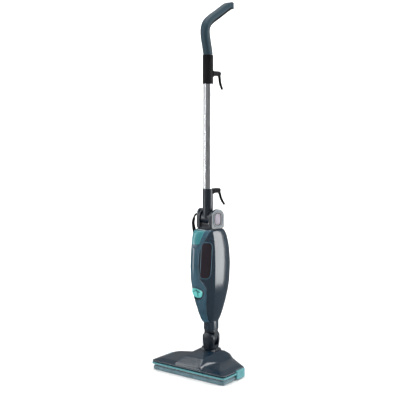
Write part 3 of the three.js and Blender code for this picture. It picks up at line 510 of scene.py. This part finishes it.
def puff_up(pad, low, high):
    """Fills the pad by cloth simulation from a slightly smaller shape, and keeps it in its room."""
    centre = (low + high) / 2
    half = (high - low) / 2
    for vertex in pad.data.vertices:
        for axis in range(3):
            share = (vertex.co[axis] - centre[axis]) / half[axis]
            vertex.co[axis] -= share * (PAD["shrink"] if axis < 2 else 0)
    start = [vertex.co.copy() for vertex in pad.data.vertices]
    cloth = pad.modifiers.new("filling", "CLOTH")
    cloth.settings.use_pressure = True
    cloth.settings.uniform_pressure_force = PAD["pressure"]
    cloth.settings.effector_weights.gravity = 0
    cloth.point_cache.frame_start, cloth.point_cache.frame_end = 1, PAD["frames"]
    for step in range(1, PAD["frames"] + 1):
        scene.frame_set(step)
    filled = pad.evaluated_get(bpy.context.evaluated_depsgraph_get())
    ends = [vertex.co.copy() for vertex in filled.data.vertices]
    pad.modifiers.remove(cloth)
    scene.frame_set(1)
    for vertex, begun, ended in zip(pad.data.vertices, start, ends):
        move = ended - begun
        if move.length > PAD["most_puff"]:
            move = move.normalized() * PAD["most_puff"]
        vertex.co = begun + move
        vertex.co.z = min(high.z, max(low.z, vertex.co.z))


def pad_piece():
    """The pad: a quilted microfibre slab with a soft edge and sewn channels."""
    low, high = (Vector(c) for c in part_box("mop_pad"))
    source = frame["nodes"]["mop_pad"]
    mesh = source.data.copy()
    mesh.transform(source.matrix_world)
    mesh.materials.clear()
    mesh.name = "cleaning_pad"
    pad = piece_from("cleaning_pad", mesh, "microfibre", "head", "mop_pad")
    remesh = pad.modifiers.new("even_faces", "REMESH")
    remesh.mode = "VOXEL"
    remesh.voxel_size = PAD["voxel"]
    bpy.context.view_layer.objects.active = pad
    pad.select_set(True)
    bpy.ops.object.modifier_apply(modifier="even_faces")
    puff_up(pad, low, high)
    middle = (low.z + high.z) / 2
    half = (high.z - low.z) / 2
    centre = Vector((0, (low.y + high.y) / 2, middle))
    for vertex in pad.data.vertices:
        point = vertex.co
        level = (point.z - middle) / half
        reach = Vector((point.x - centre.x, point.y - centre.y, 0))
        if reach.length > 1e-6 and abs(level) > EDGE_PULL["beyond_level"]:
            pull = EDGE_PULL["amount"] * (abs(level) - EDGE_PULL["beyond_level"]) ** 2
            point.x -= reach.normalized().x * pull
            point.y -= reach.normalized().y * pull
        seam = min(abs(abs(point.x) - SEAM["x"]), SEAM["reach"]) / SEAM["reach"]
        point.z -= SEAM["depth"] * (1 - seam) * max(0, level)
        wobble = sum(noise.noise(point * scale) * amount for scale, amount in WOBBLES)
        if abs(level) < WOBBLE_LEVEL and reach.length:
            point.x += reach.normalized().x * wobble
            point.y += reach.normalized().y * wobble
    for face in pad.data.polygons:
        face.use_smooth = True
    finer = pad.modifiers.new("finer", "SUBSURF")
    finer.levels = finer.render_levels = 1


pad_piece()

# ---- Trim on the body ----

SIDES = (("right", 1), ("left", -1))
BACKWARDS = Vector((0, 1, 0))
UPWARDS = Vector((0, 0, 1))
IN_FRONT_Y = -0.2
BODY_SKINS = ("front_shell_right", "front_shell_left", "front_strip", "rear_shell")
BEAD_SIDES = 8
WINDOW_RIM = {
    "width": 0.0366,
    "height": 0.1136,
    "corner": 0.0128,
    "points": 72,
    "facing": (0.852, -0.523),
    "tilt": math.radians(4),
    "radius": 0.0013,
    "proud": 0.0001,
    "start_out": 0.06,
}
# The ear's outer face widens towards the back.
EAR = {"front_x": 0.0268, "front_y": -0.051, "widening": 18.2 / 74.3, "sunk": 0.0002}
BUTTON = {"width": 0.023, "height": 0.036, "corner": 0.0105, "points": 64}
# Each ring round a button: its name, how far outside it lies, its tube's radius and its slot. The
# black ring is painted shade: a dark tube laid where the gap round the button falls into shade. The
# rim is a real raised rim.
BUTTON_RIM_AND_SHADE_RING = (("ring", 0.0011, 0.001, "black"), ("rim", 0.0066, 0.0012, "strip_gloss"))
# Half the front strip's outline, as (across, up) in millimetres, from the top down.
STRIP_EDGE = [
    (31, 460),
    (25, 432),
    (18.5, 405),
    (15.5, 385),
    (14.5, 345),
    (16, 305),
    (22, 292),
    (26, 274),
    (24.5, 250),
    (20, 222),
    (15, 190),
    (11, 160),
]
STRIP_BEAD = {"bottom": 0.166, "top": 0.446, "inset": 0.0004, "start_y": -0.13, "radius": 0.0011}
KNOB_MARK = {"half_width": 0.0125, "foot": 0.261, "arch": 0.006, "spans": 12, "radius": 0.0011}
GRIP_RIB = {"spans": 11, "first_y": 0.002, "reach": 0.072, "start_z": 1.02, "radius": 0.0011}
GRIP_RIB_XS = (-0.008, -0.004, 0, 0.004, 0.008)
GRIP_RIB_RISE = {"middle": 0.0004, "bow": 5}
STITCH = {"length": 0.0032, "gap": 0.0004, "foot": 0.0022, "per_column": 4, "half_width": 0.0004}
STITCH_COLUMNS = (-0.0028, 0.0028)
# A stitch's front and back face: how far behind the skin, and half height as a share of length.
STITCH_FACES = ((-0.0004, 0.4), (0.0006, 0.5))
BLOCK_FACES = ((3, 2, 1, 0), (4, 5, 6, 7), (0, 1, 5, 4), (1, 2, 6, 5), (2, 3, 7, 6), (3, 0, 4, 7))


def on_surface(node, start, direction):
    """The point where a line from start meets a CAD node's skin, or None."""
    hit, place, _, _ = frame["nodes"][node].ray_cast(start, direction.normalized(), distance=0.2)
    return place if hit else None


def closed_tube(name, path, outward, radius, sides=8):
    """A ring of tube through path, which joins its own start and lies across outward."""
    points, faces = [], []
    count = len(path)
    for i, centre in enumerate(path):
        along = (path[(i + 1) % count] - path[i - 1]).normalized()
        side = along.cross(outward).normalized()
        other = along.cross(side).normalized()
        for k in range(sides):
            angle = 2 * math.pi * k / sides
            points.append(tuple(centre + radius * (math.cos(angle) * side + math.sin(angle) * other)))
    for i in range(count):
        for k in range(sides):
            a, b = i * sides + k, i * sides + (k + 1) % sides
            c, d = (i + 1) % count * sides + (k + 1) % sides, (i + 1) % count * sides + k
            faces.append((a, b, c, d))
    return mesh_of(name, points, faces)


def rounded_slot(width, height, corner, steps=8):
    """Points round a rounded rectangle about the origin, as (across, up)."""
    points = []
    quarters = ((1, 1, 0), (-1, 1, 1), (-1, -1, 2), (1, -1, 3))
    for sx, sy, turn in quarters:
        cx, cy = sx * (width / 2 - corner), sy * (height / 2 - corner)
        for i in range(steps + 1):
            angle = math.pi / 2 * (turn + i / steps)
            points.append((cx + corner * math.cos(angle), cy + corner * math.sin(angle)))
    return points


def resampled(points, count):
    """The closed outline as evenly spaced points."""
    loop = [Vector(p) for p in points] + [Vector(points[0])]
    total = sum((b - a).length for a, b in zip(loop, loop[1:]))
    out, walked, i = [], 0.0, 0
    for k in range(count):
        goal = total * k / count
        while walked + (loop[i + 1] - loop[i]).length < goal:
            walked += (loop[i + 1] - loop[i]).length
            i += 1
        span = (loop[i + 1] - loop[i]).length
        out.append(loop[i].lerp(loop[i + 1], (goal - walked) / span if span else 0))
    return out


def shell_point(start, direction):
    """The outermost body skin met by a line going in."""
    hits = [on_surface(node, start, direction) for node in BODY_SKINS]
    hits = [h for h in hits if h]
    return min(hits, key=lambda h: (h - start).length) if hits else None


def window_rim(word, side):
    """The raised rim round a tank window, laid on the body's skin."""
    low, high = (Vector(c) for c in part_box(f"tank_window_{word}"))
    centre = (low + high) / 2
    out_x, out_y = WINDOW_RIM["facing"]
    along = Vector((-side * out_y, out_x, 0))
    outward = Vector((side * out_x, out_y, 0))
    tilt = side * WINDOW_RIM["tilt"]
    slot = rounded_slot(WINDOW_RIM["width"], WINDOW_RIM["height"], WINDOW_RIM["corner"])
    path = []
    for across, up in resampled(slot, WINDOW_RIM["points"]):
        turned = across * math.cos(tilt) + up * math.sin(tilt)
        raised = up * math.cos(tilt) - across * math.sin(tilt)
        level = centre + along * turned * side + Vector((0, 0, raised))
        place = shell_point(level + outward * WINDOW_RIM["start_out"], -outward)
        if place:
            path.append(place + outward * WINDOW_RIM["proud"])
    name = f"window_rim_{word}"
    mesh = closed_tube(name, path, outward, WINDOW_RIM["radius"])
    piece_from(name, mesh, "strip_gloss", "housing")


def ear_face_x(y):
    """How far out the ear's tapered face is, at a place along Y, in metres."""
    return EAR["front_x"] + (y - EAR["front_y"]) * EAR["widening"]


def ear_rim(word, side):
    """A black ring close round a fold button, which is painted shade for the gap round it, and a
    raised rim further out on the ear.
    """
    low, high = (Vector(c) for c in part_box(f"fold_button_{word}"))
    cy, cz = (low.y + high.y) / 2, (low.z + high.z) / 2
    for kind, grow, radius, slot in BUTTON_RIM_AND_SHADE_RING:
        width, height = BUTTON["width"] + 2 * grow, BUTTON["height"] + 2 * grow
        outline = rounded_slot(width, height, BUTTON["corner"] + grow)
        path = []
        for across, up in resampled(outline, BUTTON["points"]):
            y = cy + across
            path.append(Vector((side * (ear_face_x(y) - EAR["sunk"]), y, cz + up)))
        name = f"button_{kind}_{word}"
        mesh = closed_tube(name, path, Vector((side, 0, 0)), radius)
        # The black ring made here is painted shade for the button's gap; the rim is real.
        piece_from(name, mesh, slot, "housing")


def strip_edges():
    """A fine raised bead along each side of the glossy front strip."""
    edge = catmull([(x / 1000, 0, z / 1000) for x, z in STRIP_EDGE], 7)
    covered = [point for point in edge if STRIP_BEAD["bottom"] < point.z < STRIP_BEAD["top"]]
    for word, side in SIDES:
        path = []
        for point in covered:
            across = side * (point.x - STRIP_BEAD["inset"])
            start = Vector((across, STRIP_BEAD["start_y"], point.z))
            place = on_surface("front_strip", start, BACKWARDS)
            if place:
                path.append(place)
        name = f"strip_bead_{word}"
        mesh = tube_mesh(name, path, lambda share: STRIP_BEAD["radius"], BEAD_SIDES)
        piece_from(name, mesh, "strip_gloss", "housing")


def knob_inlay():
    """The dark curved mark across the steam knob's face."""
    path = []
    for i in range(KNOB_MARK["spans"] + 1):
        share = i / KNOB_MARK["spans"]
        across = KNOB_MARK["half_width"] * (2 * share - 1)
        up = KNOB_MARK["foot"] + KNOB_MARK["arch"] * math.sin(math.pi * share)
        place = on_surface("steam_knob", Vector((across, IN_FRONT_Y, up)), BACKWARDS)
        if place:
            path.append(place)
    mesh = tube_mesh("knob_mark", path, lambda share: KNOB_MARK["radius"], BEAD_SIDES)
    piece_from("knob_mark", mesh, "black", "knob")


def grip_ribs():
    """Shallow finger ribs across the soft back of the grip."""
    rise, bow = GRIP_RIB_RISE["middle"], GRIP_RIB_RISE["bow"]
    for i in range(GRIP_RIB["spans"] + 1):
        y = GRIP_RIB["first_y"] + GRIP_RIB["reach"] * i / GRIP_RIB["spans"]
        place = on_surface("grip_back", Vector((0, y, GRIP_RIB["start_z"])), UPWARDS)
        if not place:
            continue
        path = [place + Vector((x, 0, rise + bow * x * x)) for x in GRIP_RIB_XS]
        name = f"grip_rib_{i:02d}"
        mesh = tube_mesh(name, path, lambda share: GRIP_RIB["radius"], BEAD_SIDES)
        piece_from(name, mesh, "rubber", "pole")


def stitch_corners(place):
    """The eight corners of one stitch that stands up the pad's side at place."""
    corners = []
    for behind, share in STITCH_FACES:
        for across, end in ((-1, -1), (1, -1), (1, 1), (-1, 1)):
            x = place.x + across * STITCH["half_width"]
            corners.append((x, place.y + behind, place.z + end * share * STITCH["length"]))
    return corners


def pad_stitches():
    """Short stitches beside the pad's two sewn seams, along its front side."""
    pad = bpy.data.objects["cleaning_pad"]
    for word, side in SIDES:
        points, faces = [], []
        for column in STITCH_COLUMNS:
            for i in range(STITCH["per_column"]):
                x = side * SEAM["x"] + column
                z = STITCH["foot"] + i * (STITCH["length"] + STITCH["gap"])
                hit, place, _, _ = pad.ray_cast(Vector((x, IN_FRONT_Y, z)), BACKWARDS)
                if not hit:
                    continue
                faces += [tuple(len(points) + k for k in face) for face in BLOCK_FACES]
                points += stitch_corners(place)
        name = f"pad_stitches_{word}"
        piece_from(name, mesh_of(name, points, faces), "teal_pale", "head")


for word, side in SIDES:
    window_rim(word, side)
    ear_rim(word, side)
strip_edges()
knob_inlay()
grip_ribs()
pad_stitches()

# ---- Floor and light ----

PALE = {"main": (0.86, 0.86, 0.86), "patch": (0.83, 0.83, 0.83)}
FLOOR = {"hub": 0.001, "ring": 1.2, "flat": 3.4, "bend": 1.2, "top": 5.0, "turns": 64, "steps": 12}
LIT_POINT = (0, 0, 0.6)
# Each light's name, its place away from the camera, across and up, its size, and its watts.
SOFTBOXES = (
    ("right", (-0.02, 2.0, 0.62), (0.95, 2.0), 42),
    ("left", (-0.3, -2.0, 1.0), (0.3, 2.4), 22),
    ("front", (-2.6, -1.3, 2.3), (0.9, 0.9), 7),
    ("top", (0, 0, 3.4), (3.0, 3.0), 95),
)
BACKDROP_LAMP = {"place": (1.6, 0, 3.2), "aim": (4.2, 0, 1.4), "size": (4, 1), "watts": 150}
WORLD_STRENGTH = 0.26


def stage_material():
    recipe = Recipe("backdrop", PALE["main"], roughness=0.9)
    recipe.vary_color(scale=0.6, other=PALE["patch"], share=0.5)
    return recipe.material


def floor_piece():
    """A round floor that curves up into a wall all the way round."""
    flat, bend, turns = FLOOR["flat"], FLOOR["bend"], FLOOR["turns"]
    profile = [(FLOOR["hub"], 0.0), (FLOOR["ring"], 0.0), (flat, 0.0)]
    for i in range(1, FLOOR["steps"] + 1):
        angle = math.pi / 2 * i / FLOOR["steps"]
        profile.append((flat + bend * math.sin(angle), bend * (1 - math.cos(angle))))
    profile.append((flat + bend, FLOOR["top"]))
    points, faces = [], []
    for k in range(turns):
        angle = 2 * math.pi * k / turns
        points += [(out * math.cos(angle), out * math.sin(angle), up) for out, up in profile]
    count = len(profile)
    for k in range(turns):
        here, there = k * count, (k + 1) % turns * count
        faces += [(here + i, here + i + 1, there + i + 1, there + i) for i in range(count - 1)]
    mesh = mesh_of("floor", points, faces)
    mesh.materials.append(stage_material())
    made = bpy.data.objects.new("floor", mesh)
    scene.collection.objects.link(made)
    made.visible_glossy = False


def area_light(name, place, target, size, power):
    data = bpy.data.lights.new(name, "AREA")
    data.shape = "RECTANGLE"
    data.size, data.size_y = size
    data.energy = power
    made = bpy.data.objects.new(name, data)
    scene.collection.objects.link(made)
    made.location = place
    made.rotation_euler = (Vector(target) - Vector(place)).to_track_quat("-Z", "Y").to_euler()


floor_piece()
for name, place, size, power in SOFTBOXES:
    area_light(name, beside(*place), LIT_POINT, size, power)
area_light(
    "backdrop",
    beside(*BACKDROP_LAMP["place"]),
    beside(*BACKDROP_LAMP["aim"]),
    BACKDROP_LAMP["size"],
    BACKDROP_LAMP["watts"],
)
world = bpy.data.worlds.new("studio")
world.use_nodes = True
world.node_tree.nodes["Background"].inputs["Color"].default_value = (1, 1, 1, 1)
world.node_tree.nodes["Background"].inputs["Strength"].default_value = WORLD_STRENGTH
scene.world = world
scene.view_settings.view_transform = "Standard"
